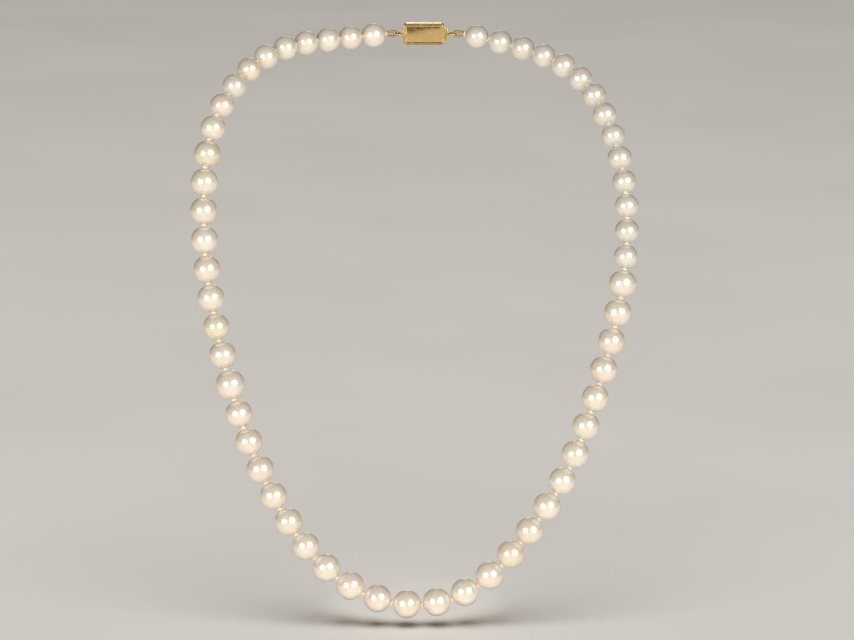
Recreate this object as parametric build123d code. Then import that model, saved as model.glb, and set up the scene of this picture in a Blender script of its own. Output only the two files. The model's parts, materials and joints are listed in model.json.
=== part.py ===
from build123d import *
import math
import os

# A knotted pearl necklace, princess length, as it lies on a wearer: 57 cultured pearls on silk,
# with a knot after every pearl, closed at the nape by a box-and-tongue clasp.
# Millimetres. The origin is the middle of the clasp. +Z is up, -Y is forward, to the chest,
# and +X is to the right of someone who faces the wearer. Pearls are numbered from the clasp's
# left end, round the front, to its right end.

# ---- driving dimensions ----

# pearls
FRONT_PEARL_D = 7.0
BACK_PEARL_D = 6.2
MATCH_SPREAD = 0.07
MATCH_STEP = 2.4
FIRST_FRONT_PEARL = 10
LAST_FRONT_PEARL = 43
# pearls that the stringer let differ, as a share of a front pearl
ODD_PEARLS = {10: 0.93, 11: 0.97, 17: 0.965, 19: 1.07}

# how many pearls: those that lie on the nape beside the clasp, then those that hang free
NAPE_PEARLS = 5
LEFT_HANGING = 24
RIGHT_HANGING = 23

# silk
THREAD_D = 0.6
BORE_CLEARANCE = 0.12
KNOT_D = 1.15
KNOT_GAP = 0.5
KNOT_CLEARANCE = 0.03
KNOT_EDGE = 0.16

# gimp: the fine wire coil that guards the silk where it loops through the clasp's ring
GIMP_D = 0.7
GIMP_LEG_LEAN = 8
GIMP_LEG_SPACING = 0.76

# clasp case, a rounded box: a domed front and a flat back plate that lies on the neck
CASE_LENGTH = 11.0
CASE_HEIGHT = 5.6
CASE_CORNER_R = 1.2
CASE_LEAST_CORNER_R = 0.1
CASE_DOME_EDGE = 0.9
CASE_WALL = 0.4
CASE_BACK_Y = -1.3
CASE_FRONT_Y = 2.3
BACK_PLATE_FIT = 0.02

# clasp rings, soldered to the case and to the tongue
RING_D = 2.0
RING_WIRE_D = 0.6
RING_FIT = 0.06
SOLDER_OVERLAP = 0.12

# clasp tongue: a flat plate, and a sprung leaf that rises from its inner end
TONGUE_WIDTH = 2.6
TONGUE_SHEET = 0.3
TONGUE_BACK_CLEARANCE = 0.5
MOUTH_CLEARANCE = 0.15
MOUTH_TOP_Y = 0.9
LEAF_SHEET = 0.25
LEAF_TOP_Y = 1.35
LEAF_STEP_CLEARANCE = 0.12
HEM_D = 0.4
HEM_CLEARANCE = 0.03
THUMB_NECK_WIDTH = 1.2
THUMB_TAB_SHEET = 0.3
THUMB_TAB_HEIGHT = 1.3
THUMB_TAB_GAP = 0.2
END_PLATE_GAP = 0.1
END_PLATE_SHEET = 0.6
END_PLATE_DEPTH = 1.05
END_PLATE_HEIGHT = 3.4

# The line that the silk follows from the clasp's left gimp to its right one: over the left
# shoulder, down the chest, round the front and back over the right shoulder. It hangs a
# little unevenly, as a strand does.
DRAPE = [
    (-26.2, -8.5, -0.5),
    (-39.9, -19.3, -2.7),
    (-48.2, -28.5, -9.2),
    (-53.6, -36.5, -19.0),
    (-55.4, -43.4, -32.0),
    (-54.5, -51.8, -53.0),
    (-50.2, -59.8, -73.5),
    (-43.6, -67.6, -93.5),
    (-36.2, -73.5, -108.0),
    (-26.0, -78.8, -121.0),
    (-14.0, -81.8, -128.8),
    (0.0, -82.8, -131.0),
    (13.6, -80.8, -126.4),
    (24.6, -76.8, -116.0),
    (35.0, -71.0, -101.6),
    (43.0, -63.5, -82.4),
    (48.8, -55.6, -62.4),
    (51.1, -48.4, -46.6),
    (50.8, -40.0, -32.0),
    (47.2, -29.8, -19.0),
    (40.3, -18.9, -8.8),
    (27.3, -8.0, -3.2),
]

# ---- sizes that follow ----

PEARL_COUNT = 2 * NAPE_PEARLS + LEFT_HANGING + RIGHT_HANGING
LAST_LEFT_PEARL = NAPE_PEARLS + LEFT_HANGING
BORE_R = THREAD_D / 2 + BORE_CLEARANCE
# how often the drape is let out or taken in until it has the strand's length
FIT_ROUNDS = 6

RING_R = RING_D / 2
RING_WIRE_R = RING_WIRE_D / 2
GIMP_R = GIMP_D / 2
GIMP_BEND_R = RING_WIRE_R + GIMP_R + RING_FIT
GIMP_LEAN = math.radians(GIMP_LEG_LEAN)
GIMP_LEG = (GIMP_BEND_R * math.cos(GIMP_LEAN) - GIMP_LEG_SPACING / 2) / math.tan(GIMP_LEAN)
GIMP_RUN = GIMP_LEG + GIMP_BEND_R * math.sin(GIMP_LEAN)

CASE_END = CASE_LENGTH / 2
LEFT_RING_X = -CASE_END - RING_R - RING_WIRE_R + SOLDER_OVERLAP
END_PLATE_X = CASE_END + END_PLATE_GAP
RIGHT_RING_X = END_PLATE_X + END_PLATE_SHEET + RING_R + RING_WIRE_R - SOLDER_OVERLAP
STRAND_START_X = LEFT_RING_X - RING_R - GIMP_RUN
STRAND_END_X = RIGHT_RING_X + RING_R + GIMP_RUN

# the tongue's place in the case: its plate lies in the strand's line
TONGUE_BACK_X = -CASE_END + CASE_WALL + TONGUE_BACK_CLEARANCE
TONGUE_TOP_Y = TONGUE_SHEET / 2
LEAF_END_X = CASE_END - CASE_WALL - LEAF_STEP_CLEARANCE
HEM_X = TONGUE_BACK_X + HEM_D / 2
HEM_Y = TONGUE_TOP_Y + HEM_CLEARANCE + HEM_D / 2


def pearl_diameter(number):
    """Back pearls are smaller than front ones, and no two match exactly."""
    if FIRST_FRONT_PEARL <= number <= LAST_FRONT_PEARL:
        size = FRONT_PEARL_D * ODD_PEARLS.get(number, 1.0)
    else:
        size = BACK_PEARL_D
    return size + MATCH_SPREAD * math.sin(MATCH_STEP * number)


def drape_line(scale):
    """The silk's line, fixed at the clasp and let out or taken in by scale."""
    points = [(STRAND_START_X, 0, 0)]
    points += [(scale * x, scale * y, scale * z) for x, y, z in DRAPE]
    points += [(STRAND_END_X, 0, 0)]
    return Spline(*points)


def knot_points():
    """The middle of each knot, from the one before pearl 1 to the one after the last pearl."""
    steps = [pearl_diameter(number) + KNOT_GAP for number in range(1, PEARL_COUNT + 1)]
    strand_length = sum(steps)
    scale = 1.0
    for _ in range(FIT_ROUNDS):
        scale *= strand_length / drape_line(scale).length
    line = drape_line(scale)
    reached = 0.0
    points = [line @ 0]
    for step in steps:
        reached += step
        points.append(line @ min(reached / strand_length, 1.0))
    return points


KNOTS = knot_points()


def heading(number):
    """The direction of the bore of a pearl, from the knot before it to the knot after it."""
    return (KNOTS[number] - KNOTS[number - 1]).normalized()


# ---- pearls and silk ----


def pearl(number):
    """One drilled pearl, its bore in line with the two knots that hold it."""
    diameter = pearl_diameter(number)
    middle = (KNOTS[number - 1] + KNOTS[number]) * 0.5
    ball = Sphere(diameter / 2) - Cylinder(BORE_R, 2 * diameter)
    return Plane(origin=middle, z_dir=heading(number)) * ball


def thread(start, end):
    """A straight run of the silk."""
    run = end - start
    return Plane(origin=(start + end) * 0.5, z_dir=run) * Cylinder(THREAD_D / 2, run.length)


def knot_solid(knot):
    """A knot, pressed to a round cushion between its two pearls."""
    height = KNOT_GAP - 2 * KNOT_CLEARANCE
    cushion = Cylinder(KNOT_D / 2, height)
    cushion = fillet(cushion.edges().filter_by(GeomType.CIRCLE), min(KNOT_EDGE, 0.45 * height))
    before = heading(max(knot, 1))
    after = heading(min(knot + 1, PEARL_COUNT))
    return Plane(origin=KNOTS[knot], z_dir=before + after) * cushion


def silk_runs(first_knot, last_knot, first_run_start):
    """The straight runs of silk through the pearls from one knot to another."""
    pieces = []
    for number in range(first_knot + 1, last_knot + 1):
        start = first_run_start if number == first_knot + 1 else KNOTS[number - 1]
        pieces.append(thread(start, KNOTS[number]))
    return pieces


def left_silk():
    knots = [knot_solid(knot) for knot in range(0, LAST_LEFT_PEARL + 1)]
    runs = silk_runs(0, LAST_LEFT_PEARL, KNOTS[0])
    return runs[0] + runs[1:] + knots


def right_silk():
    """It starts clear of the bottom knot, which belongs to the left run of silk."""
    start = KNOTS[LAST_LEFT_PEARL] + heading(LAST_LEFT_PEARL + 1) * (KNOT_GAP / 2)
    knots = [knot_solid(knot) for knot in range(LAST_LEFT_PEARL + 1, PEARL_COUNT + 1)]
    runs = silk_runs(LAST_LEFT_PEARL, PEARL_COUNT, start)
    return runs[0] + runs[1:] + knots


# ---- clasp ----


def gimp_loop(start_x, side):
    """A loop of wire coil: two legs from the first knot, and a bend round the clasp's ring."""
    knot_face = start_x - side * KNOT_GAP / 2
    bend_x = start_x - side * GIMP_RUN
    touch_x = bend_x + side * GIMP_BEND_R * math.sin(GIMP_LEAN)
    touch_z = GIMP_BEND_R * math.cos(GIMP_LEAN)
    leg_z = GIMP_LEG_SPACING / 2 + (start_x - knot_face) * side * math.tan(GIMP_LEAN)
    upper_leg = Line((knot_face, 0, leg_z), (touch_x, 0, touch_z))
    bend = ThreePointArc(
        (touch_x, 0, touch_z), (bend_x - side * GIMP_BEND_R, 0, 0), (touch_x, 0, -touch_z)
    )
    lower_leg = Line((touch_x, 0, -touch_z), (knot_face, 0, -leg_z))
    path = Wire([upper_leg, bend, lower_leg])
    section = Plane(origin=path @ 0, z_dir=path % 0) * Circle(GIMP_R)
    return sweep(section, path)


def clasp_ring(centre_x):
    """A closed ring that lies flat, so that its wire is square to the gimp that passes it."""
    return Pos(centre_x, 0, 0) * Torus(RING_R, RING_WIRE_R)


def box(low, high):
    """A block from its lowest corner to its highest."""
    size = [top - bottom for bottom, top in zip(low, high)]
    middle = [(top + bottom) / 2 for bottom, top in zip(low, high)]
    return Pos(*middle) * Box(*size)


def case_block(inset, back_y, front_y):
    """The case's rounded outline, taken in all round by inset, from one depth to another."""
    corner_r = max(CASE_CORNER_R - inset, CASE_LEAST_CORNER_R)
    outline = RectangleRounded(CASE_LENGTH - 2 * inset, CASE_HEIGHT - 2 * inset, corner_r)
    back = Plane(origin=(0, back_y, 0), x_dir=(1, 0, 0), z_dir=(0, 1, 0))
    return extrude(back * outline, front_y - back_y)


def mouth():
    """The slot that the tongue enters by, and above it the notch for the thumb tab's neck."""
    inner_x = CASE_END - 2 * CASE_WALL
    outer_x = CASE_END + CASE_WALL
    half_slot = TONGUE_WIDTH / 2 + MOUTH_CLEARANCE
    half_notch = THUMB_NECK_WIDTH / 2 + MOUTH_CLEARANCE
    slot_floor = -TONGUE_SHEET / 2 - MOUTH_CLEARANCE
    notch_top = LEAF_TOP_Y + MOUTH_CLEARANCE
    slot = box((inner_x, slot_floor, -half_slot), (outer_x, MOUTH_TOP_Y, half_slot))
    notch = box((inner_x, 0, -half_notch), (outer_x, notch_top, half_notch))
    return slot + notch


def clasp_front():
    """The domed front of the case, hollow, with the tongue's mouth in its right end."""
    case = case_block(0, CASE_BACK_Y, CASE_FRONT_Y)
    front_edges = case.edges().group_by(Axis.Y)[-1]
    case = fillet(front_edges, min(CASE_DOME_EDGE, 0.9 * CASE_CORNER_R))
    hollow = case_block(CASE_WALL, CASE_BACK_Y - CASE_WALL, CASE_FRONT_Y - CASE_WALL)
    return case - hollow - mouth()


def clasp_back():
    """The flat plate that is set into the case's open back."""
    return case_block(CASE_WALL + BACK_PLATE_FIT, CASE_BACK_Y, CASE_BACK_Y + CASE_WALL)


def tongue_plate():
    """The tongue's flat plate, with the end plate that stands outside the mouth."""
    half_width = TONGUE_WIDTH / 2
    outer_x = END_PLATE_X + END_PLATE_SHEET
    sheet = box(
        (TONGUE_BACK_X, -TONGUE_TOP_Y, -half_width), (outer_x, TONGUE_TOP_Y, half_width)
    )
    end_plate = box(
        (END_PLATE_X, TONGUE_TOP_Y - END_PLATE_DEPTH, -END_PLATE_HEIGHT / 2),
        (outer_x, TONGUE_TOP_Y, END_PLATE_HEIGHT / 2),
    )
    return sheet + end_plate


def tongue_leaf():
    """The sprung leaf. Its square end stands behind the mouth until the tab is pressed."""
    leaf_under_y = LEAF_TOP_Y - LEAF_SHEET
    slope = make_face(
        Polyline(
            (HEM_X, HEM_Y - LEAF_SHEET / 2),
            (LEAF_END_X, leaf_under_y),
            (LEAF_END_X, LEAF_TOP_Y),
            (HEM_X, HEM_Y + LEAF_SHEET / 2),
            close=True,
        )
    )
    sheet = extrude(slope, TONGUE_WIDTH / 2, both=True)
    hem = Pos(HEM_X, HEM_Y, 0) * Cylinder(HEM_D / 2, TONGUE_WIDTH)
    half_neck = THUMB_NECK_WIDTH / 2
    tab_x = CASE_END + THUMB_TAB_GAP
    tab_outer_x = tab_x + THUMB_TAB_SHEET
    neck = box(
        (LEAF_END_X - LEAF_SHEET, leaf_under_y, -half_neck), (tab_outer_x, LEAF_TOP_Y, half_neck)
    )
    tab = box(
        (tab_x, leaf_under_y, -TONGUE_WIDTH / 2),
        (tab_outer_x, leaf_under_y + THUMB_TAB_HEIGHT, TONGUE_WIDTH / 2),
    )
    return sheet + hem + neck + tab


# ---- the nodes ----


def pearl_group(first, last):
    """Several pearls kept together as separate solids."""
    return Compound(children=[pearl(number) for number in range(first, last + 1)])


def build_nodes():
    nodes = {
        "clasp_front": clasp_front(),
        "clasp_back": clasp_back(),
        "clasp_ring_left": clasp_ring(LEFT_RING_X),
        "clasp_ring_right": clasp_ring(RIGHT_RING_X),
        "tongue_plate": tongue_plate(),
        "tongue_leaf": tongue_leaf(),
        "gimp_left": gimp_loop(STRAND_START_X, -1),
        "gimp_right": gimp_loop(STRAND_END_X, 1),
        "silk_left": left_silk(),
        "silk_right": right_silk(),
        "nape_pearls_left": pearl_group(1, NAPE_PEARLS),
        "nape_pearls_right": pearl_group(PEARL_COUNT - NAPE_PEARLS + 1, PEARL_COUNT),
    }
    for number in range(NAPE_PEARLS + 1, PEARL_COUNT - NAPE_PEARLS + 1):
        nodes[f"pearl_{number:02d}"] = pearl(number)
    return nodes


if __name__ == "__main__":
    os.makedirs("parts", exist_ok=True)
    for name, solid in build_nodes().items():
        solid.label = name
        export_step(solid, f"parts/{name}.step")
    length = sum(pearl_diameter(n) + KNOT_GAP for n in range(1, PEARL_COUNT + 1))
    with_clasp = length + STRAND_END_X - STRAND_START_X
    print(f"{PEARL_COUNT} pearls, strand {length:.1f} mm, with clasp {with_clasp:.1f} mm")
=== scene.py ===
import json
import math
import random

import bmesh
import bpy
from mathutils import Matrix, Quaternion, Vector

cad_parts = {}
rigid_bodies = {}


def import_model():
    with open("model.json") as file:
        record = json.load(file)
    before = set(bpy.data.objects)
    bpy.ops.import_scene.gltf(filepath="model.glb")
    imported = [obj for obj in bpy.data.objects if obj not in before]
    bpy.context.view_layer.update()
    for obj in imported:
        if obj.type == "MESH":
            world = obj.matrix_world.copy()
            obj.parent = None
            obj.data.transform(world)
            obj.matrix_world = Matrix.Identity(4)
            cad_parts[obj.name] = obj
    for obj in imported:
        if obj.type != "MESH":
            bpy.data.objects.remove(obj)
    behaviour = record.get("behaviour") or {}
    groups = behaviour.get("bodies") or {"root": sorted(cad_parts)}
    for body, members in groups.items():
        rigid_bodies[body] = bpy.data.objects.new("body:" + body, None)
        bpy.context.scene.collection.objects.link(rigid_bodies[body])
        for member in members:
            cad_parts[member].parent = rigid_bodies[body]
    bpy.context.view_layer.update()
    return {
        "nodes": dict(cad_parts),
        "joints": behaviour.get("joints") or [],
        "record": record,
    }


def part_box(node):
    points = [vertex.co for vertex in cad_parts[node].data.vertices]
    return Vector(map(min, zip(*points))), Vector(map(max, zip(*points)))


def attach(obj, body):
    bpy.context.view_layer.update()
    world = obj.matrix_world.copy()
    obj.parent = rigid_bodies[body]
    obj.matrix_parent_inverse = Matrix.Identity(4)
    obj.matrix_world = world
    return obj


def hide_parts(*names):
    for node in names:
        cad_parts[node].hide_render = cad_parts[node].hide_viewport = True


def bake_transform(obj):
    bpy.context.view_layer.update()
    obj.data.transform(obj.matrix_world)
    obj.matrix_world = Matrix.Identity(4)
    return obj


# A knotted pearl necklace with a gold box clasp, modelled over its frame. Metres, +Z up, -Y forward.
# Sections: sizes, shader helper, finishes, modelling helpers, where the pearls and knots are, pearls,
# silk, gimps, clasp, studio, build.

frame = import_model()

# ---- sizes ----

# Lengths are times MM, but for the camera's and the floor's, which are in metres. Angles are degrees.
MM = 0.001
TINY = 0.001 * MM
MERGE_WITHIN = 0.001 * MM
FACING = 0.9
BALL_ANGLE = 60
WIRE_ANGLE = 80
EASE_ANGLE = 35
EASE_SMOOTH_ANGLE = 50
EASE_CUTS = 2
TUBE_RESOLUTION = 3

NAPE_PEARLS = 5
FIRST_HANGING = 6
LAST_LEFT_HANGING = 29
LAST_HANGING = 52
LAST_PEARL = 57

MASTER_PEARL_R = 3.5 * MM
PEARL_SEGMENTS = 56
PEARL_RINGS = 36
PEARL_MASTERS = 7
PEARL_OVAL = 0.014
PEARL_UNEVEN = 0.06 * MM
LUMP_SIZE = 1.6 * MM
LUMP_SIZE_STEP = 0.4 * MM
BORE_R = 0.42 * MM
BORE_LIP = 0.07 * MM
BORE_CUTS = 3
BORE_LIP_CUTS = 2

PLY_R = 0.145 * MM
PLY_SIDES = 8
PLY_NEST = 0.92
YARN_HALF = 4.4 * MM
YARN_PITCH = 1.5 * MM
YARN_STEPS_PER_TURN = 7
SILK_END = 0.6 * MM
KNOT_MASTERS = 4
KNOT_WIDTH = 1.45 * MM
KNOT_DEPTH = 0.6 * MM
KNOT_STRAND_R = 0.185 * MM
KNOT_POINTS = 26
KNOT_LOOPS = 3
KNOT_WINDS = 2
KNOT_REACH = 0.70
KNOT_REACH_SWING = 0.30
KNOT_RISE = 1.5
KNOT_MASTER_TURN = 0.35
KNOT_TURN_LENGTH = 0.48 * MM

GIMP_LEAN = 8
GIMP_BEND_R = 0.71 * MM
GIMP_WIRE_R = 0.055 * MM
GIMP_COIL_R = 0.29 * MM
GIMP_CORE_R = 0.2 * MM
GIMP_TURN_PITCH = 0.13 * MM
GIMP_POINTS_PER_TURN = 8
LEG_STEPS = 4
BEND_STEPS = 12

RING_WIRE_R = 0.3 * MM
RING_SEGMENTS = 56
RING_SIDES = 18
SOLDER_OUT = 0.08 * MM
SOLDER_SHAPE = (0.5, 1.1, 1.2)
SOLDER_SEGMENTS = 24
SOLDER_RINGS = 14
CASE_CORNER_R = 1.2 * MM
CASE_CORNER_CUTS = 7
CASE_DOME_EDGE = 0.9 * MM
CASE_DOME_CUTS = 6
CASE_WALL = 0.4 * MM
CASE_EASE = 0.045 * MM
BACK_CORNER_CUTS = 6
BACK_EASE = 0.03 * MM
BACK_MARGIN = 0.3 * MM
BACK_SLOPE = 0.05 * MM
BACK_GROOVE = 0.1 * MM
BACK_SUNK = 0.07 * MM
BACK_PANEL_RISE = 0.05 * MM
SLOT_FLOOR_Y = -0.3 * MM
SLOT_TOP_Y = 0.9 * MM
SLOT_HALF = 1.45 * MM
NOTCH_HALF = 0.75 * MM
NOTCH_TOP_Y = 1.5 * MM
TONGUE_HALF = 1.3 * MM
END_PLATE_SHEET = 0.6 * MM
TONGUE_EASE = 0.06 * MM
LEAF_SHEET = 0.25 * MM
HEM_R = 0.2 * MM
HEM_SIDES = 24
NECK_HALF = 0.6 * MM
TAB_SHEET = 0.3 * MM
TAB_REACH = 0.72 * MM
TAB_HEIGHT = 1.3 * MM
TAB_GROOVES = 3
TAB_GROOVE_STEP = 0.28 * MM
TAB_GROOVE_R = 0.06 * MM
TAB_GROOVE_SIDES = 12
LEAF_EASE = 0.035 * MM

SCROLL_STEPS = 16
SCROLL_START = -30
SCROLL_SWEEP = 520
SCROLL_CURL = 1.15
SCROLL_EYE = 0.07
SCROLL_WIRE_R = 0.085 * MM
SCROLL_PROUD = 0.35
SCROLL_R = 0.95 * MM
SMALL_SCROLL = 0.62
SCROLL_X = 2.55 * MM
SCROLL_Z = 0.62 * MM
SMALL_SCROLL_X = 1.25 * MM
FLOWER_PETALS = 6
PETAL_R = 0.2 * MM
PETAL_SHAPE = (1.5, 0.45, 0.8)
PETAL_SEGMENTS = 14
PETAL_RINGS = 8
PETAL_REACH = 0.42 * MM
HEART_R = 0.19 * MM
HEART_PROUD = 0.03 * MM
GRAIN_R = 0.11 * MM
GRAIN_SEGMENTS = 10
GRAIN_RINGS = 6
GRAIN_INSET = 1.2
GRAIN_SPACING = 2.25
GRAIN_PROUD = 0.2

CAMERA_TARGET = Vector((0.0008, -0.068, -0.062))
CAMERA_ELEVATION = 12
CAMERA_DISTANCE = 1.0
CAMERA_LENS = 169.9
SENSOR_WIDTH = 36.0
FLOOR_Z = -0.1365
FLOOR_SIZE = 12


# ---- shader helper ----


class Value:
    """A socket's value in a shader expression: its operators add Math nodes."""

    def __init__(self, tree, socket):
        self.tree = tree
        self.socket = socket

    def _math(self, operation, *values):
        return self.tree.node("ShaderNodeMath", {"operation": operation}, dict(enumerate(values)))

    def __add__(self, other):
        return self._math("ADD", self, other)

    def __radd__(self, other):
        return self._math("ADD", other, self)

    def __mul__(self, other):
        return self._math("MULTIPLY", self, other)

    def __rmul__(self, other):
        return self._math("MULTIPLY", other, self)


class Finish:
    """A material under construction, whose Principled shader takes constants and links."""

    def __init__(self, name, **constants):
        self.material = bpy.data.materials.new(name)
        self.material.use_nodes = True
        self.nodes = self.material.node_tree.nodes
        self.links = self.material.node_tree.links
        self.shader = self.nodes["Principled BSDF"]
        for socket, value in constants.items():
            self.shader.inputs[socket.replace("_", " ")].default_value = value

    def node(self, kind, settings, values, output=0):
        """Adds a node, sets it up, and fills its sockets with values or links."""
        made = self.nodes.new(kind)
        for name, value in settings.items():
            setattr(made, name, value)
        for name, value in values.items():
            self.fill(made.inputs[name], value)
        return Value(self, made.outputs[output])

    def fill(self, socket, value):
        """Links a value to a socket, or sets the socket to a constant."""
        if isinstance(value, Value):
            self.links.new(value.socket, socket)
        else:
            socket.default_value = value

    def feed(self, **values):
        """Links what varies over the surface to the shader."""
        for name, value in values.items():
            self.fill(self.shader.inputs[name.replace("_", " ")], value)

    def object_coordinates(self):
        return self.node("ShaderNodeTexCoord", {}, {}, "Object")

    def attribute(self, name):
        return self.node("ShaderNodeAttribute", {"attribute_name": name}, {}, "Fac")

    def noise(self, place, scale, detail=2.0, roughness=0.5, distortion=0.0):
        return self.node(
            "ShaderNodeTexNoise",
            {},
            {"Vector": place, "Scale": scale, "Detail": detail, "Roughness": roughness,
             "Distortion": distortion},
            "Fac",
        )

    def smooth(self, value, low, high, bottom=0.0, top=1.0):
        """Eases from bottom to top as a value goes from low to high."""
        return self.node(
            "ShaderNodeMapRange",
            {"interpolation_type": "SMOOTHSTEP"},
            {"Value": value, "From Min": low, "From Max": high, "To Min": bottom, "To Max": top},
        )

    def mix(self, factor, first, second, blend="MIX"):
        return self.node(
            "ShaderNodeMix",
            {"data_type": "RGBA", "blend_type": blend},
            {"Factor": factor, 6: first, 7: second},
            2,
        )

    def bump(self, height, strength, distance):
        return self.node(
            "ShaderNodeBump", {}, {"Height": height, "Strength": strength, "Distance": distance}
        )


def rgb(red, green, blue):
    return (red, green, blue, 1.0)


# ---- finishes ----

CREAM = rgb(0.93, 0.87, 0.77)
CREAM_SHADE = rgb(0.88, 0.79, 0.66)
ROSE = rgb(0.93, 0.84, 0.76)
ROSE_SHADE = rgb(0.88, 0.74, 0.64)
GOLD_BODY = rgb(0.92, 0.84, 0.70)
GOLD_SHADE = rgb(0.86, 0.75, 0.58)
SILVER = rgb(0.87, 0.83, 0.75)
SILVER_SHADE = rgb(0.79, 0.745, 0.65)
PALE = rgb(0.97, 0.94, 0.88)
ROSE_BLUSH = rgb(1.0, 0.92, 0.90)
GREEN_BLUSH = rgb(0.97, 1.0, 0.95)
SILK_CREAM = rgb(0.95, 0.90, 0.75)
SILK_SOILED = rgb(0.88, 0.79, 0.60)
SILK_BRIGHT = rgb(0.98, 0.94, 0.82)
GOLD_DEEP = rgb(0.86, 0.60, 0.23)
GOLD_BRIGHT = rgb(0.93, 0.70, 0.33)
GILT_DEEP = rgb(0.80, 0.56, 0.24)
GILT_BRIGHT = rgb(0.94, 0.74, 0.42)
FLOOR_PALE = rgb(0.75, 0.735, 0.71)
FLOOR_SHADE = rgb(0.735, 0.72, 0.695)


def nacre(name, body, shade):
    """Pearl: clouded body colour with a rose and green blush, ripples and pits under a thin gloss."""
    finish = Finish(
        name,
        Metallic=0.3,
        IOR=1.6,
        Specular_IOR_Level=0.35,
        Specular_Tint=rgb(0.78, 0.58, 0.42),
        Subsurface_Weight=0.08,
        Subsurface_Radius=(1.0, 0.72, 0.5),
        Subsurface_Scale=0.001,
        Coat_Weight=0.2,
        Coat_Roughness=0.11,
        Coat_IOR=1.5,
    )
    place = finish.object_coordinates()
    cloud = finish.noise(place, scale=330, detail=3, roughness=0.55, distortion=0.4)
    ripple = finish.noise(place, scale=1500, detail=3, roughness=0.6)
    fine_grain = finish.noise(place, scale=6500, detail=2)
    tone = finish.attribute("tone")
    veil = finish.smooth(cloud, 0.36, 0.66)
    clouded = finish.mix(veil * 0.55 + tone * 0.45, shade, body)
    rippled = finish.mix(finish.smooth(ripple, 0.42, 0.72, 0.0, 0.30), clouded, PALE)
    orient = finish.smooth(finish.noise(place, scale=210, detail=2), 0.38, 0.62)
    blush = finish.mix(orient, ROSE_BLUSH, GREEN_BLUSH)
    pits = finish.node("ShaderNodeTexVoronoi", {}, {"Vector": place, "Scale": 420.0}, "Distance")
    surface = ripple * 0.3 + fine_grain * 0.1 + finish.smooth(pits, 0.03, 0.11, 0.0, 0.6)
    finish.feed(
        Base_Color=finish.mix(0.45, rippled, blush, "MULTIPLY"),
        Roughness=finish.smooth(ripple, 0.3, 0.7, 0.17, 0.24),
        Normal=finish.bump(surface, strength=0.12, distance=0.05 * MM),
    )
    return finish.material


def silk_finish():
    """Cream silk, with the lie of its filaments and a little handling dirt."""
    finish = Finish(
        "silk",
        Specular_IOR_Level=0.4,
        Sheen_Weight=0.5,
        Sheen_Roughness=0.35,
        Subsurface_Weight=0.15,
        Subsurface_Radius=(1.0, 0.8, 0.55),
        Subsurface_Scale=0.0004,
    )
    place = finish.object_coordinates()
    fibre = finish.noise(place, scale=9000, detail=3, roughness=0.65)
    soil = finish.noise(place, scale=420, detail=2)
    handled = finish.mix(finish.smooth(soil, 0.4, 0.8), SILK_CREAM, SILK_SOILED)
    finish.feed(
        Base_Color=finish.mix(finish.smooth(fibre, 0.35, 0.7), handled, SILK_BRIGHT),
        Roughness=finish.smooth(fibre, 0.3, 0.7, 0.5, 0.68),
        Normal=finish.bump(fibre, strength=0.5, distance=0.06 * MM),
    )
    return finish.material


def gold_finish():
    """Polished yellow gold with the fine scratches and softer shine of wear."""
    finish = Finish("gold", Metallic=1.0, IOR=1.5)
    place = finish.object_coordinates()
    wear = finish.noise(place, scale=800, detail=3, roughness=0.6)
    drawn = finish.node(
        "ShaderNodeMapping", {"vector_type": "POINT"}, {"Vector": place, "Scale": (500, 9000, 5000)}
    )
    scratch = finish.noise(drawn, scale=1.0, detail=2)
    finish.feed(
        Base_Color=finish.mix(finish.smooth(wear, 0.35, 0.7), GOLD_DEEP, GOLD_BRIGHT),
        Roughness=finish.smooth(wear, 0.3, 0.75, 0.13, 0.27),
        Normal=finish.bump(scratch * 0.6 + wear * 0.4, strength=0.08, distance=0.03 * MM),
    )
    return finish.material


def gimp_finish():
    """Gilt wire, duller and a little paler than the clasp's gold."""
    finish = Finish("gimp_wire", Metallic=1.0)
    place = finish.object_coordinates()
    wear = finish.noise(place, scale=1400, detail=2)
    finish.feed(
        Base_Color=finish.mix(wear, GILT_DEEP, GILT_BRIGHT),
        Roughness=finish.smooth(wear, 0.3, 0.7, 0.22, 0.36),
        Normal=finish.bump(wear, strength=0.05, distance=0.03 * MM),
    )
    return finish.material


def floor_finish():
    """A pale painted floor with the faintest mottling."""
    finish = Finish("studio_floor")
    place = finish.object_coordinates()
    mottle = finish.noise(place, scale=9, detail=3)
    finish.feed(
        Base_Color=finish.mix(mottle, FLOOR_SHADE, FLOOR_PALE),
        Roughness=finish.smooth(mottle, 0.3, 0.7, 0.55, 0.65),
    )
    return finish.material


# ---- modelling helpers ----


def deselect_all():
    bpy.ops.object.select_all(action="DESELECT")


def add(primitive, name, **settings):
    """Adds a primitive as a new piece, with nothing else selected."""
    deselect_all()
    primitive(**settings)
    piece = bpy.context.object
    piece.name = name
    piece.data.name = name
    return piece


def make_active(piece):
    deselect_all()
    piece.select_set(True)
    bpy.context.view_layer.objects.active = piece


def edit(piece):
    make_active(piece)
    bpy.ops.object.mode_set(mode="EDIT")


def leave_edit():
    bpy.ops.object.mode_set(mode="OBJECT")


def pick(kind, test):
    """In edit mode, selects vertices by place, edges by both ends, or faces by middle and normal."""
    bpy.ops.mesh.select_mode(type={"verts": "VERT", "edges": "EDGE", "faces": "FACE"}[kind])
    bpy.ops.mesh.select_all(action="DESELECT")
    mesh = bpy.context.edit_object.data
    model = bmesh.from_edit_mesh(mesh)
    for item in getattr(model, kind):
        if kind == "verts":
            item.select_set(test(item.co))
        elif kind == "edges":
            item.select_set(test(item.verts[0].co, item.verts[1].co))
        else:
            item.select_set(test(item.calc_center_median(), item.normal))
    model.select_flush_mode()
    bmesh.update_edit_mesh(mesh)


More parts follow.
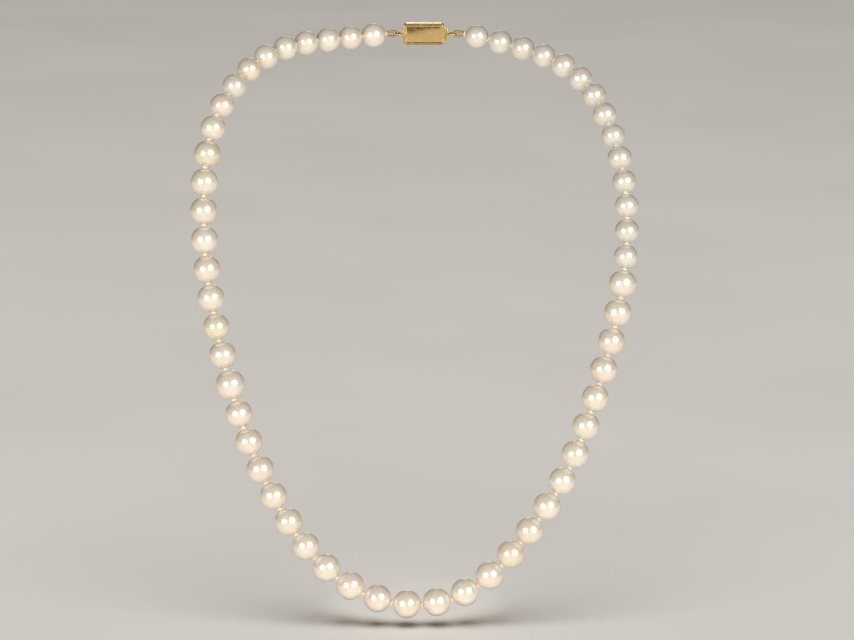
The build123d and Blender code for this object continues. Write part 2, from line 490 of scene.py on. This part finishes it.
def apply_modifier(piece, kind, **settings):
    """Adds a modifier, sets it up and applies it."""
    make_active(piece)
    modifier = piece.modifiers.new(kind.lower(), kind)
    for name, value in settings.items():
        setattr(modifier, name, value)
    bpy.ops.object.modifier_apply(modifier=modifier.name)


def smooth_faces(piece, angle):
    """Shades a piece smooth, except over edges sharper than an angle in degrees."""
    make_active(piece)
    bpy.ops.object.shade_smooth_by_angle(angle=math.radians(angle))


def outward(piece):
    """Merges doubles and turns every face outwards."""
    edit(piece)
    bpy.ops.mesh.select_all(action="SELECT")
    bpy.ops.mesh.remove_doubles(threshold=MERGE_WITHIN)
    bpy.ops.mesh.normals_make_consistent(inside=False)
    leave_edit()


def copy_of(master, name, place=Matrix.Identity(4)):
    """A copy with a mesh of its own, put in place in that mesh."""
    piece = master.copy()
    piece.data = master.data.copy()
    piece.name = name
    piece.data.name = name
    piece.data.transform(place)
    bpy.context.scene.collection.objects.link(piece)
    return piece


def discard(*pieces):
    for piece in pieces:
        bpy.data.objects.remove(piece)


def join(pieces, name):
    """Joins pieces into the first of them."""
    deselect_all()
    for piece in pieces:
        piece.select_set(True)
    bpy.context.view_layer.objects.active = pieces[0]
    bpy.ops.object.join()
    joined = bpy.context.object
    joined.name = name
    return joined


def paint(piece, material):
    piece.data.materials.clear()
    piece.data.materials.append(material)


# ---- where the pearls and knots are ----


def box_middle_and_size(low, high):
    return (low + high) / 2, max(high - low)


def nape_pearls(node):
    """The middle and diameter of each pearl in a nape group, from the clasp outwards."""
    group = copy_of(frame["nodes"][node], "loose_pearls")
    group.parent = None
    edit(group)
    bpy.ops.mesh.select_all(action="SELECT")
    bpy.ops.mesh.remove_doubles(threshold=MERGE_WITHIN)
    bpy.ops.mesh.separate(type="LOOSE")
    leave_edit()
    found = []
    loose = list(bpy.context.selected_objects)
    for ball in loose:
        corners = [Vector(corner) for corner in ball.bound_box]
        low = Vector(map(min, zip(*corners)))
        high = Vector(map(max, zip(*corners)))
        found.append(box_middle_and_size(low, high))
    discard(*loose)
    return sorted(found, key=lambda ball: abs(ball[0].x))


def find_pearls():
    """Each pearl's middle and diameter, by number."""
    pearls = {}
    for number in range(FIRST_HANGING, LAST_HANGING + 1):
        pearls[number] = box_middle_and_size(*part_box(f"pearl_{number:02d}"))
    for step, ball in enumerate(nape_pearls("nape_pearls_left")):
        pearls[1 + step] = ball
    for step, ball in enumerate(nape_pearls("nape_pearls_right")):
        pearls[LAST_PEARL - step] = ball
    return pearls


def find_knots(pearls):
    """The knot after each pearl: at the flex joints, and from there mirrored through the pearls."""
    knots = {}
    for joint in frame["joints"]:
        if joint["name"].endswith("_flex"):
            # a left pearl flexes at the knot before it, a right one at the knot after it
            number = int(joint["name"].split("_")[1])
            knot = number - 1 if number <= LAST_LEFT_HANGING else number
            knots[knot] = Vector(joint["pos_m"])
    knots[LAST_LEFT_HANGING] = 2 * pearls[LAST_LEFT_HANGING][0] - knots[LAST_LEFT_HANGING - 1]
    for knot in range(NAPE_PEARLS - 1, -1, -1):
        knots[knot] = 2 * pearls[knot + 1][0] - knots[knot + 1]
    for knot in range(LAST_HANGING + 1, LAST_PEARL + 1):
        knots[knot] = 2 * pearls[knot][0] - knots[knot - 1]
    return knots


def body_of_pearl(number):
    if number < FIRST_HANGING:
        return "clasp_case"
    if number > LAST_HANGING:
        return "clasp_tongue"
    return f"pearl_{number:02d}"


def pearl_slot(number):
    """The record's finish for a pearl, or for the nape group that it is in."""
    node = f"pearl_{number:02d}"
    if number < FIRST_HANGING:
        node = "nape_pearls_left"
    elif number > LAST_HANGING:
        node = "nape_pearls_right"
    return SLOT_OF_NODE[node]


SLOT_OF_NODE = {part["node"]: part["material_slot"] for part in frame["record"]["subparts"]}
PEARLS = find_pearls()
KNOTS = find_knots(PEARLS)


def bore_direction(number):
    """The way through a pearl's bore; past either end of the strand, the end pearl's."""
    number = min(max(number, 1), LAST_PEARL)
    return (KNOTS[number] - KNOTS[number - 1]).normalized()


# ---- pearls ----


def pearl_master(index):
    """A drilled pearl, not quite round, its bore upright, lined by a bridge and eased at both rims."""
    radius = MASTER_PEARL_R
    ball = add(
        bpy.ops.mesh.primitive_uv_sphere_add,
        f"pearl_master_{index}",
        segments=PEARL_SEGMENTS,
        ring_count=PEARL_RINGS,
        radius=radius,
    )
    edit(ball)
    pick("verts", lambda at: abs(at.z) > radius - TINY)
    bpy.ops.mesh.delete(type="VERT")
    rim_angle = math.pi / PEARL_RINGS
    rim_z = radius * math.cos(rim_angle)
    rim_r = radius * math.sin(rim_angle)
    bore_z = math.sqrt(radius**2 - BORE_R**2)
    spread = BORE_R / rim_r
    for side in (1, -1):
        pick("verts", lambda at, side=side: at.z * side > rim_z - TINY)
        bpy.ops.transform.resize(value=(spread, spread, 1), center_override=(0, 0, side * rim_z))
        bpy.ops.transform.translate(value=(0, 0, side * (bore_z - rim_z)))

    def on_rim(first, second):
        at_rim = min(abs(first.z), abs(second.z)) > bore_z - TINY
        return at_rim and abs(first.z - second.z) < BORE_R

    pick("edges", on_rim)
    bpy.ops.mesh.bridge_edge_loops(number_cuts=BORE_CUTS)
    pick("edges", on_rim)
    bpy.ops.mesh.bevel(offset=BORE_LIP, segments=BORE_LIP_CUTS, affect="EDGES")
    leave_edit()
    lumps = bpy.data.textures.new(f"lumps_{index}", "CLOUDS")
    lumps.noise_scale = LUMP_SIZE + LUMP_SIZE_STEP * index
    lumps.noise_depth = 1
    apply_modifier(
        ball,
        "DISPLACE",
        texture=lumps,
        texture_coords="LOCAL",
        strength=PEARL_UNEVEN,
        mid_level=0.5,
    )
    outward(ball)
    smooth_faces(ball, BALL_ANGLE)
    return ball


def build_pearls(finishes):
    """Every pearl of the strand, each a little oval, turned about its bore and toned by itself."""
    draw = random.Random(57)
    masters = [pearl_master(index) for index in range(PEARL_MASTERS)]
    for number in range(1, LAST_PEARL + 1):
        middle, diameter = PEARLS[number]
        scale = diameter / (2 * MASTER_PEARL_R)
        upright = bore_direction(number).to_track_quat("Z", "Y").to_matrix().to_4x4()
        turn = Matrix.Rotation(draw.uniform(0, math.tau), 4, "Z")
        oval = Matrix.Diagonal([scale * (1 - draw.uniform(0, PEARL_OVAL)) for axis in "xyz"] + [1])
        place = Matrix.Translation(middle) @ upright @ turn @ oval
        ball = copy_of(masters[number % PEARL_MASTERS], f"strand_pearl_{number:02d}", place)
        tone = ball.data.attributes.new("tone", "FLOAT", "POINT")
        value = draw.uniform(0.1, 1.0)
        tone.data.foreach_set("value", [value] * len(ball.data.vertices))
        slot = pearl_slot(number)
        paint(ball, finishes[slot])
        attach(ball, body_of_pearl(number))
        if FIRST_HANGING <= number <= LAST_HANGING:
            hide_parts(f"pearl_{number:02d}")
    discard(*masters)
    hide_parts("nape_pearls_left")
    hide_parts("nape_pearls_right")


# ---- silk ----


def yarn_master():
    """Two plies of silk twisted together along Z, longer than a pearl, closed at both ends."""
    plies = []
    for side in (1, -1):
        ply = add(
            bpy.ops.mesh.primitive_circle_add,
            "ply",
            vertices=PLY_SIDES,
            radius=PLY_R,
            location=(side * PLY_R * PLY_NEST, 0, -YARN_HALF),
        )
        bpy.ops.object.transform_apply(location=True)
        plies.append(ply)
    yarn = join(plies, "yarn_master")
    turns = 2 * YARN_HALF / YARN_PITCH
    steps = round(turns * YARN_STEPS_PER_TURN)
    apply_modifier(
        yarn,
        "SCREW",
        angle=math.tau * turns,
        screw_offset=2 * YARN_HALF,
        steps=steps,
        render_steps=steps,
        use_normal_calculate=True,
    )
    edit(yarn)
    bpy.ops.mesh.select_all(action="SELECT")
    bpy.ops.mesh.fill_holes(sides=0)
    leave_edit()
    outward(yarn)
    smooth_faces(yarn, BALL_ANGLE)
    return yarn


def tube_along(name, points, radius, roundness, cyclic=False):
    """A round tube along a smooth curve drawn by control points, made a mesh."""
    line = bpy.data.curves.new(name, "CURVE")
    line.dimensions = "3D"
    spline = line.splines.new("NURBS")
    spline.points.add(len(points) - 1)
    for control, point in zip(spline.points, points):
        control.co = (*point, 1)
    spline.order_u = 3
    spline.use_cyclic_u = cyclic
    spline.use_endpoint_u = not cyclic
    spline.resolution_u = TUBE_RESOLUTION
    line.bevel_depth = radius
    line.bevel_resolution = roundness
    line.use_fill_caps = not cyclic
    piece = bpy.data.objects.new(name, line)
    bpy.context.scene.collection.objects.link(piece)
    make_active(piece)
    bpy.ops.object.convert(target="MESH")
    return bpy.context.object


def knot_master(index):
    """A pulled-tight overhand knot round the strand on Z, closed on itself so that no end shows."""
    turns = []
    across = KNOT_WIDTH / 2 - KNOT_STRAND_R
    rise = (KNOT_DEPTH / 2 - KNOT_STRAND_R) * KNOT_RISE
    for step in range(KNOT_POINTS):
        angle = math.tau * step / KNOT_POINTS
        reach = across * (KNOT_REACH + KNOT_REACH_SWING * math.cos(KNOT_LOOPS * angle))
        wind = KNOT_WINDS * angle + KNOT_MASTER_TURN * index
        height = rise * math.sin(KNOT_LOOPS * angle)
        turns.append(Vector((reach * math.cos(wind), reach * math.sin(wind), height)))
    knot = tube_along(f"knot_master_{index}", turns, KNOT_STRAND_R, roundness=2, cyclic=True)
    outward(knot)
    smooth_faces(knot, WIRE_ANGLE)
    return knot


def lay_on_strand(piece, knot, before, after):
    """Bends a piece that stands on Z at the origin round the turn that the strand makes at a knot."""
    first = before.to_track_quat("Z", "Y")
    turn = before.rotation_difference(after)
    for vertex in piece.data.vertices:
        along = vertex.co.z
        share = min(max(along / KNOT_TURN_LENGTH + 0.5, 0), 1)
        eased = share * share * (3 - 2 * share)
        rotation = Quaternion().slerp(turn, eased) @ first
        across = rotation @ Vector((vertex.co.x, vertex.co.y, 0))
        way = after if along > 0 else before
        vertex.co = KNOTS[knot] + across + way * along
    piece.data.update()


def build_silk(finish):
    """The doubled silk: at each gap a knot, and a run from the middle of one pearl to the next."""
    draw = random.Random(408)
    yarn = yarn_master()
    knot_masters = [knot_master(index) for index in range(KNOT_MASTERS)]
    for knot in range(LAST_PEARL + 1):
        before = bore_direction(knot)
        after = bore_direction(knot + 1)
        low = -pearl_half_gap(knot) if knot > 0 else -SILK_END
        high = pearl_half_gap(knot + 1) if knot < LAST_PEARL else SILK_END
        twisted = Matrix.Rotation(draw.uniform(0, math.tau), 4, "Z")
        run = copy_of(yarn, f"silk_run_{knot:02d}", twisted)
        if knot == LAST_LEFT_HANGING:
            # the strand is open here, so the silk beyond this knot rides with the next pearl
            far_run = copy_of(yarn, f"silk_run_{knot:02d}_right", twisted)
            trim(far_run, KNOT_DEPTH / 2, high)
            lay_on_strand(far_run, knot, before, after)
            paint(far_run, finish)
            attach(far_run, body_of_pearl(knot + 1))
            high = KNOT_DEPTH / 2
        trim(run, low, high)
        flip = Matrix.Rotation(draw.choice((0, math.pi)), 4, "X")
        turned = Matrix.Rotation(draw.uniform(0, math.tau), 4, "Z") @ flip
        tied = copy_of(knot_masters[knot % KNOT_MASTERS], f"silk_knot_{knot:02d}", turned)
        for piece in (run, tied):
            lay_on_strand(piece, knot, before, after)
            paint(piece, finish)
            hold_silk(piece, knot, before, after)
    discard(yarn, *knot_masters)


def pearl_half_gap(number):
    """From a knot to the middle of the pearl beside it."""
    return (KNOTS[number] - KNOTS[number - 1]).length / 2


def trim(piece, low, high):
    """Cuts a run of yarn square at two heights and closes the cuts."""
    for height, clears_above in ((low, False), (high, True)):
        edit(piece)
        bpy.ops.mesh.select_all(action="SELECT")
        bpy.ops.mesh.bisect(
            plane_co=(0, 0, height),
            plane_no=(0, 0, 1),
            use_fill=True,
            clear_inner=not clears_above,
            clear_outer=clears_above,
        )
        leave_edit()


def hold_silk(piece, knot, before, after):
    """The silk at a knot rides with the first pearl where its two pearls don't flex, and at the open
    knot; elsewhere it stays where it lies, held by neither pearl.
    """
    first = body_of_pearl(max(knot, 1))
    second = body_of_pearl(min(knot + 1, LAST_PEARL))
    if first == second or knot == LAST_LEFT_HANGING:
        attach(piece, first)
        return
    half = KNOT_TURN_LENGTH / 2
    KNOTS[knot] - before * half
    KNOTS[knot] + after * half
    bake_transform(piece)


# ---- gimps ----


def gimp_path(knot, side):
    """The loop from a knot's face round the clasp's ring and back, in the loop's own plane."""
    ring_low, ring_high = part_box("clasp_ring_left" if side < 0 else "clasp_ring_right")
    bend_x = (ring_low.x if side < 0 else ring_high.x) - side * RING_WIRE_R
    lean = math.radians(GIMP_LEAN)
    face_x = KNOTS[knot].x - side * KNOT_DEPTH / 2
    touch_x = bend_x + side * GIMP_BEND_R * math.sin(lean)
    touch_z = GIMP_BEND_R * math.cos(lean)
    face_z = touch_z - abs(touch_x - face_x) * math.tan(lean)
    face = Vector((face_x, 0, face_z))
    touch = Vector((touch_x, 0, touch_z))
    points = [face.lerp(touch, step / LEG_STEPS) for step in range(LEG_STEPS)]
    lower = [Vector((point.x, 0, -point.z)) for point in reversed(points)]
    first = math.radians(90 - GIMP_LEAN)
    for step in range(BEND_STEPS + 1):
        angle = first + (math.pi - first) * 2 * step / BEND_STEPS
        out_x = side * GIMP_BEND_R * math.cos(angle)
        points.append(Vector((bend_x + out_x, 0, GIMP_BEND_R * math.sin(angle))))
    return points + lower


def along_path(points, distance):
    """The place and direction at a distance along a path."""
    for start, end in zip(points, points[1:]):
        run = (end - start).length
        if distance <= run or end is points[-1]:
            way = (end - start).normalized()
            return start + way * distance, way
        distance -= run


def build_gimp(side, knot, body, wire_finish, thread_finish):
    """A coil of fine wire wound on the doubled silk that loops through the clasp's ring."""
    name = "left" if side < 0 else "right"
    path = gimp_path(knot, side)
    length = sum((end - start).length for start, end in zip(path, path[1:]))
    steps = round(length / GIMP_TURN_PITCH) * GIMP_POINTS_PER_TURN
    square = Vector((0, 1, 0))
    wire = []
    for step in range(steps + 1):
        place, way = along_path(path, length * step / steps)
        angle = math.tau * step / GIMP_POINTS_PER_TURN
        beside = way.cross(square)
        wire.append(place + (square * math.cos(angle) + beside * math.sin(angle)) * GIMP_COIL_R)
    coil = tube_along(f"gimp_coil_{name}", wire, GIMP_WIRE_R, roundness=1)
    core = tube_along(f"gimp_silk_{name}", path, GIMP_CORE_R, roundness=3)
    for piece, finish, slot in ((coil, wire_finish, "gimp"), (core, thread_finish, "silk")):
        outward(piece)
        smooth_faces(piece, WIRE_ANGLE)
        paint(piece, finish)
        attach(piece, body)
    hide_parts(f"gimp_{name}")
    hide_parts(f"silk_{name}")


# ---- clasp ----


def block(name, low, high):
    """A block from corner to corner, its size and place in its mesh."""
    piece = add(bpy.ops.mesh.primitive_cube_add, name, size=1, location=(low + high) / 2)
    piece.scale = high - low
    bpy.ops.object.transform_apply(location=True, scale=True)
    return piece


def is_upright(first, second):
    """Is an edge square to the clasp's face?"""
    return abs(first.x - second.x) < TINY and abs(first.z - second.z) < TINY


def round_corners(piece, radius, segments):
    edit(piece)
    pick("edges", is_upright)
    bpy.ops.mesh.bevel(offset=radius, segments=segments, affect="EDGES")
    leave_edit()


def cut(piece, *cutters):
    for cutter in cutters:
        apply_modifier(piece, "BOOLEAN", operation="DIFFERENCE", object=cutter, solver="EXACT")
    discard(*cutters)


def unite(piece, *parts):
    for part in parts:
        apply_modifier(piece, "BOOLEAN", operation="UNION", object=part, solver="EXACT")
    discard(*parts)


def ease_edges(piece, width):
    """Takes the sharpness off every hard edge, as polishing does."""
    apply_modifier(
        piece,
        "BEVEL",
        width=width,
        segments=EASE_CUTS,
        limit_method="ANGLE",
        angle_limit=math.radians(EASE_ANGLE),
    )
    smooth_faces(piece, EASE_SMOOTH_ANGLE)


def finish_gold(piece, gold, body, *nodes):
    """Gives a gold piece its finish and body, and hides the node that it replaces."""
    paint(piece, gold)
    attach(piece, body)
    if nodes:
        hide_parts(*nodes)


def clasp_front(gold):
    """The case's domed front, a shell open at the back, with the tongue's mouth in its right end."""
    low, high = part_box("clasp_front")
    shell = block("case_front", low, high)
    round_corners(shell, CASE_CORNER_R, CASE_CORNER_CUTS)
    edit(shell)
    pick("edges", lambda first, second: min(first.y, second.y) > high.y - TINY)
    bpy.ops.mesh.bevel(offset=CASE_DOME_EDGE, segments=CASE_DOME_CUTS, affect="EDGES")
    pick("faces", lambda middle, normal: normal.y < -FACING)
    bpy.ops.mesh.delete(type="FACE")
    leave_edit()
    apply_modifier(shell, "SOLIDIFY", thickness=CASE_WALL, offset=-1, use_even_offset=True)
    inner, outer = high.x - 2 * CASE_WALL, high.x + CASE_WALL
    slot = block(
        "slot", Vector((inner, SLOT_FLOOR_Y, -SLOT_HALF)), Vector((outer, SLOT_TOP_Y, SLOT_HALF))
    )
    notch = block("notch", Vector((inner, 0, -NOTCH_HALF)), Vector((outer, NOTCH_TOP_Y, NOTCH_HALF)))
    cut(shell, slot, notch)
    ease_edges(shell, CASE_EASE)
    finish_gold(shell, gold, "clasp_case", "clasp_front")


def clasp_back(gold):
    """The back plate, with a shallow groove round a panel that stands a little lower than the rim."""
    low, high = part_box("clasp_back")
    plate = block("case_back", low, high)
    round_corners(plate, CASE_CORNER_R - CASE_WALL, BACK_CORNER_CUTS)
    edit(plate)
    pick("faces", lambda middle, normal: normal.y < -FACING)
    bpy.ops.mesh.inset(thickness=BACK_MARGIN, depth=0)
    bpy.ops.mesh.inset(thickness=BACK_SLOPE, depth=-BACK_SUNK)
    bpy.ops.mesh.inset(thickness=BACK_GROOVE, depth=0)
    bpy.ops.mesh.inset(thickness=BACK_SLOPE, depth=BACK_PANEL_RISE)
    leave_edit()
    ease_edges(plate, BACK_EASE)
    finish_gold(plate, gold, "clasp_case", "clasp_back")


def clasp_ring(name, body, gold, wall_x):
    """A ring of drawn wire, and the bead of solder where it meets its wall."""
    low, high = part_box(name)
    middle = (low + high) / 2
    wire_r = (high.z - low.z) / 2
    ring = add(
        bpy.ops.mesh.primitive_torus_add,
        name.replace("clasp_ring", "ring"),
        location=middle,
        major_radius=(high.y - low.y) / 2 - wire_r,
        minor_radius=wire_r,
        major_segments=RING_SEGMENTS,
        minor_segments=RING_SIDES,
    )
    bpy.ops.object.transform_apply(location=True)
    solder = add(
        bpy.ops.mesh.primitive_uv_sphere_add,
        "solder",
        segments=SOLDER_SEGMENTS,
        ring_count=SOLDER_RINGS,
        radius=wire_r,
        location=(wall_x + math.copysign(SOLDER_OUT, wall_x), 0, 0),
    )
    solder.scale = SOLDER_SHAPE
    bpy.ops.object.transform_apply(location=True, scale=True)
    unite(ring, solder)
    smooth_faces(ring, BALL_ANGLE)
    finish_gold(ring, gold, body, name)


def strip(name, path, half_width, sheet):
    """A strip of sheet bent along a path in the clasp's XY plane."""
    piece = add(bpy.ops.mesh.primitive_plane_add, name, size=2 * half_width)
    bpy.ops.transform.rotate(value=math.pi / 2, orient_axis="X", center_override=(0, 0, 0))
    bpy.ops.object.transform_apply(rotation=True)
    edit(piece)
    pick("verts", lambda at: at.x > 0)
    bpy.ops.mesh.delete(type="VERT")
    bpy.ops.mesh.select_all(action="SELECT")
    start = Vector((path[0][0] + half_width, path[0][1], 0))
    bpy.ops.transform.translate(value=start)
    for here, there in zip(path, path[1:]):
        step = (there[0] - here[0], there[1] - here[1], 0)
        bpy.ops.mesh.extrude_region_move(TRANSFORM_OT_translate={"value": step})
    leave_edit()
    apply_modifier(piece, "SOLIDIFY", thickness=sheet, offset=0)
    return piece


def tongue_plate(gold):
    """The tongue's plate, and the end plate that stands outside the mouth."""
    low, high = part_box("tongue_plate")
    half_sheet = high.y
    sheet = block(
        "tongue_sheet",
        Vector((low.x, -half_sheet, -TONGUE_HALF)),
        Vector((high.x - END_PLATE_SHEET / 2, half_sheet, TONGUE_HALF)),
    )
    end_plate = block("end_plate", Vector((high.x - END_PLATE_SHEET, low.y, low.z)), high)
    unite(sheet, end_plate)
    ease_edges(sheet, TONGUE_EASE)
    finish_gold(sheet, gold, "clasp_tongue", "tongue_plate")


def tongue_leaf(gold):
    """The sprung leaf: a rolled hem, the slope up to its step, the neck and the ridged thumb tab."""
    low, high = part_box("tongue_leaf")
    hem_x = low.x + HEM_R
    hem_y = low.y + HEM_R
    step_x = high.x - TAB_SHEET - TAB_REACH
    leaf_y = high.y - TAB_HEIGHT + LEAF_SHEET / 2
    line = [(hem_x, hem_y), (step_x, leaf_y)]
    slope = strip("tongue_spring_leaf", line, TONGUE_HALF, LEAF_SHEET)
    hem = add(
        bpy.ops.mesh.primitive_cylinder_add,
        "hem",
        vertices=HEM_SIDES,
        radius=HEM_R,
        depth=2 * TONGUE_HALF,
        location=(hem_x, hem_y, 0),
    )
    bpy.ops.object.transform_apply(location=True)
    neck = block(
        "neck",
        Vector((step_x - LEAF_SHEET, leaf_y - LEAF_SHEET / 2, -NECK_HALF)),
        Vector((high.x - TAB_SHEET / 2, leaf_y + LEAF_SHEET / 2, NECK_HALF)),
    )
    tab = block(
        "tab",
        Vector((high.x - TAB_SHEET, leaf_y - LEAF_SHEET / 2, -TONGUE_HALF)),
        Vector((high.x, high.y, TONGUE_HALF)),
    )
    unite(slope, hem, neck, tab)
    for ridge in range(TAB_GROOVES):
        y = high.y - (ridge + 1) * TAB_GROOVE_STEP
        groove = add(
            bpy.ops.mesh.primitive_cylinder_add,
            "groove",
            vertices=TAB_GROOVE_SIDES,
            radius=TAB_GROOVE_R,
            depth=3 * TONGUE_HALF,
            location=(high.x, y, 0),
        )
        bpy.ops.object.transform_apply(location=True)
        cut(slope, groove)
    ease_edges(slope, LEAF_EASE)
    finish_gold(slope, gold, "clasp_leaf", "tongue_leaf")


def scroll(name, start, size, turn, flip):
    """A wire that curls in to its eye, lying on the case's face."""
    points = []
    for step in range(SCROLL_STEPS):
        share = step / (SCROLL_STEPS - 1)
        angle = turn + flip * math.radians(SCROLL_START + SCROLL_SWEEP * share)
        reach = size * (1 - share) ** SCROLL_CURL + size * SCROLL_EYE
        points.append(start + Vector((reach * math.cos(angle), 0, reach * math.sin(angle))))
    return tube_along(name, points, SCROLL_WIRE_R, roundness=2)


def case_ornament(gold):
    """Scrolls, a centre flower and a border of tiny grains, soldered to the case's face."""
    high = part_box("clasp_front")[1]
    face_y = high.y + SCROLL_WIRE_R * SCROLL_PROUD
    parts = []
    for x_side in (-1, 1):
        for z_side in (-1, 1):
            start = Vector((x_side * SCROLL_X, face_y, z_side * SCROLL_Z))
            turn = 0 if x_side > 0 else math.pi
            parts.append(scroll("scroll", start, SCROLL_R, turn, x_side * z_side))
    for x_side in (-1, 1):
        start = Vector((x_side * SMALL_SCROLL_X, face_y, 0))
        turn = math.pi if x_side > 0 else 0
        parts.append(scroll("scroll", start, SCROLL_R * SMALL_SCROLL, turn, x_side))
    for petal in range(FLOWER_PETALS):
        angle = math.tau * petal / FLOWER_PETALS
        leaf = add(
            bpy.ops.mesh.primitive_uv_sphere_add,
            "petal",
            segments=PETAL_SEGMENTS,
            ring_count=PETAL_RINGS,
            radius=PETAL_R,
        )
        leaf.scale = PETAL_SHAPE
        leaf.rotation_euler = (0, -angle, 0)
        leaf.location = (PETAL_REACH * math.cos(angle), high.y, PETAL_REACH * math.sin(angle))
        bpy.ops.object.transform_apply(location=True, rotation=True, scale=True)
        parts.append(leaf)
    parts.append(grain("heart", Vector((0, high.y + HEART_PROUD, 0)), HEART_R))
    for place in border_places(high):
        parts.append(grain("grain", place, GRAIN_R))
    ornament = join(parts, "case_filigree")
    smooth_faces(ornament, WIRE_ANGLE)
    finish_gold(ornament, gold, "clasp_case")


def grain(name, place, radius):
    """A tiny ball of gold."""
    ball = add(
        bpy.ops.mesh.primitive_uv_sphere_add,
        name,
        segments=GRAIN_SEGMENTS,
        ring_count=GRAIN_RINGS,
        radius=radius,
        location=place,
    )
    bpy.ops.object.transform_apply(location=True)
    return ball


def border_places(high):
    """Even places round the flat of the case's face."""
    half_x = high.x - CASE_DOME_EDGE - GRAIN_R * GRAIN_INSET
    half_z = high.z - CASE_DOME_EDGE - GRAIN_R * GRAIN_INSET
    y = high.y + GRAIN_R * GRAIN_PROUD
    turns = ((-1, -1), (1, -1), (1, 1), (-1, 1))
    corners = [Vector((x_side * half_x, y, z_side * half_z)) for x_side, z_side in turns]
    places = []
    for start, end in zip(corners, corners[1:] + corners[:1]):
        count = round((end - start).length / (GRAIN_R * GRAIN_SPACING))
        places += [start.lerp(end, step / count) for step in range(count)]
    return places


def build_clasp(gold):
    clasp_front(gold)
    clasp_back(gold)
    clasp_ring("clasp_ring_left", "clasp_case", gold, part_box("clasp_front")[0].x)
    clasp_ring("clasp_ring_right", "clasp_tongue", gold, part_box("tongue_plate")[1].x)
    tongue_plate(gold)
    tongue_leaf(gold)
    case_ornament(gold)


# ---- studio ----

COOL_LIGHT = (1.0, 1.0, 0.98)
PLAIN_LIGHT = (1.0, 0.99, 0.97)
SOFT_LIGHT = (1.0, 0.98, 0.95)
WARM_LIGHT = (1.0, 0.97, 0.93)
WARMEST_LIGHT = (1.0, 0.96, 0.90)
AIR_COLOUR = rgb(0.86, 0.69, 0.53)
AIR_STRENGTH = 0.10


def aim(item, place, target):
    """Puts a light or the camera at a place, looking at a target."""
    item.location = place
    item.rotation_mode = "QUATERNION"
    item.rotation_quaternion = (target - place).to_track_quat("-Z", "Y")
    bpy.context.scene.collection.objects.link(item)


def away(azimuth, elevation, distance):
    """A place seen from the camera's target: azimuth 0 is straight in front, and turns to the right."""
    turn = math.radians(azimuth)
    rise = math.radians(elevation)
    out = Vector((math.sin(turn) * math.cos(rise), -math.cos(turn) * math.cos(rise), math.sin(rise)))
    return CAMERA_TARGET + out * distance


def build_camera():
    lens = bpy.data.cameras.new("camera")
    lens.lens = CAMERA_LENS
    lens.sensor_width = SENSOR_WIDTH
    lens.clip_start = 10 * MM
    camera = bpy.data.objects.new("camera", lens)
    aim(camera, away(0, CAMERA_ELEVATION, CAMERA_DISTANCE), CAMERA_TARGET)
    bpy.context.scene.camera = camera


def soft_light(name, azimuth, elevation, distance, size, power, colour, shines=True):
    """A round soft box aimed at the necklace. One that doesn't shine gives no highlights."""
    lamp = bpy.data.lights.new(name, "AREA")
    lamp.shape = "DISK"
    lamp.size = size
    lamp.energy = power
    lamp.color = colour
    light = bpy.data.objects.new(name, lamp)
    light.visible_camera = False
    light.visible_glossy = shines
    aim(light, away(azimuth, elevation, distance), CAMERA_TARGET)
    return light


def build_studio():
    """A pale floor and soft light, the necklace and the floor each lit by lamps of their own."""
    floor = add(bpy.ops.mesh.primitive_plane_add, "floor", size=FLOOR_SIZE, location=(0, 0, FLOOR_Z))
    paint(floor, floor_finish())
    only_floor = bpy.data.collections.new("only_floor")
    only_floor.objects.link(floor)
    all_but_floor = bpy.data.collections.new("all_but_floor")
    all_but_floor.objects.link(floor)
    all_but_floor.collection_objects[0].light_linking.link_state = "EXCLUDE"
    # each light's azimuth, elevation, distance, size, power and colour
    for light in (
        soft_light("left_light", -36, 13, 1.1, 0.84, 4.8, PLAIN_LIGHT),
        soft_light("right_light", 38, 23, 1.1, 1.05, 6.4, COOL_LIGHT),
        soft_light("front_fill", 0, 6, 1.5, 1.0, 11.0, SOFT_LIGHT, shines=False),
        soft_light("back_light", 180, 12, 1.6, 0.36, 0.8, WARM_LIGHT),
        soft_light("back_fill", 180, 28, 2.0, 2.0, 20.0, WARMEST_LIGHT, shines=False),
    ):
        light.light_linking.receiver_collection = all_but_floor
    glow = soft_light("floor_light", 0, 80, 3.0, 3.0, 92, PLAIN_LIGHT)
    glow.light_linking.receiver_collection = only_floor
    world = bpy.data.worlds.new("studio")
    world.use_nodes = True
    air = world.node_tree.nodes["Background"].inputs
    air["Color"].default_value = AIR_COLOUR
    air["Strength"].default_value = AIR_STRENGTH
    scene = bpy.context.scene
    scene.world = world
    scene.view_settings.view_transform = "Standard"


# ---- build ----

PEARL_FINISHES = {
    "pearl_cream": nacre("nacre_cream", CREAM, CREAM_SHADE),
    "pearl_rose": nacre("nacre_rose", ROSE, ROSE_SHADE),
    "pearl_gold": nacre("nacre_gold", GOLD_BODY, GOLD_SHADE),
    "pearl_silver": nacre("nacre_silver", SILVER, SILVER_SHADE),
}

build_camera()
build_pearls(PEARL_FINISHES)
SILK_FINISH = silk_finish()
GIMP_FINISH = gimp_finish()
build_silk(SILK_FINISH)
build_gimp(-1, 0, "clasp_case", GIMP_FINISH, SILK_FINISH)
build_gimp(1, LAST_PEARL, "clasp_tongue", GIMP_FINISH, SILK_FINISH)
build_clasp(gold_finish())
build_studio()
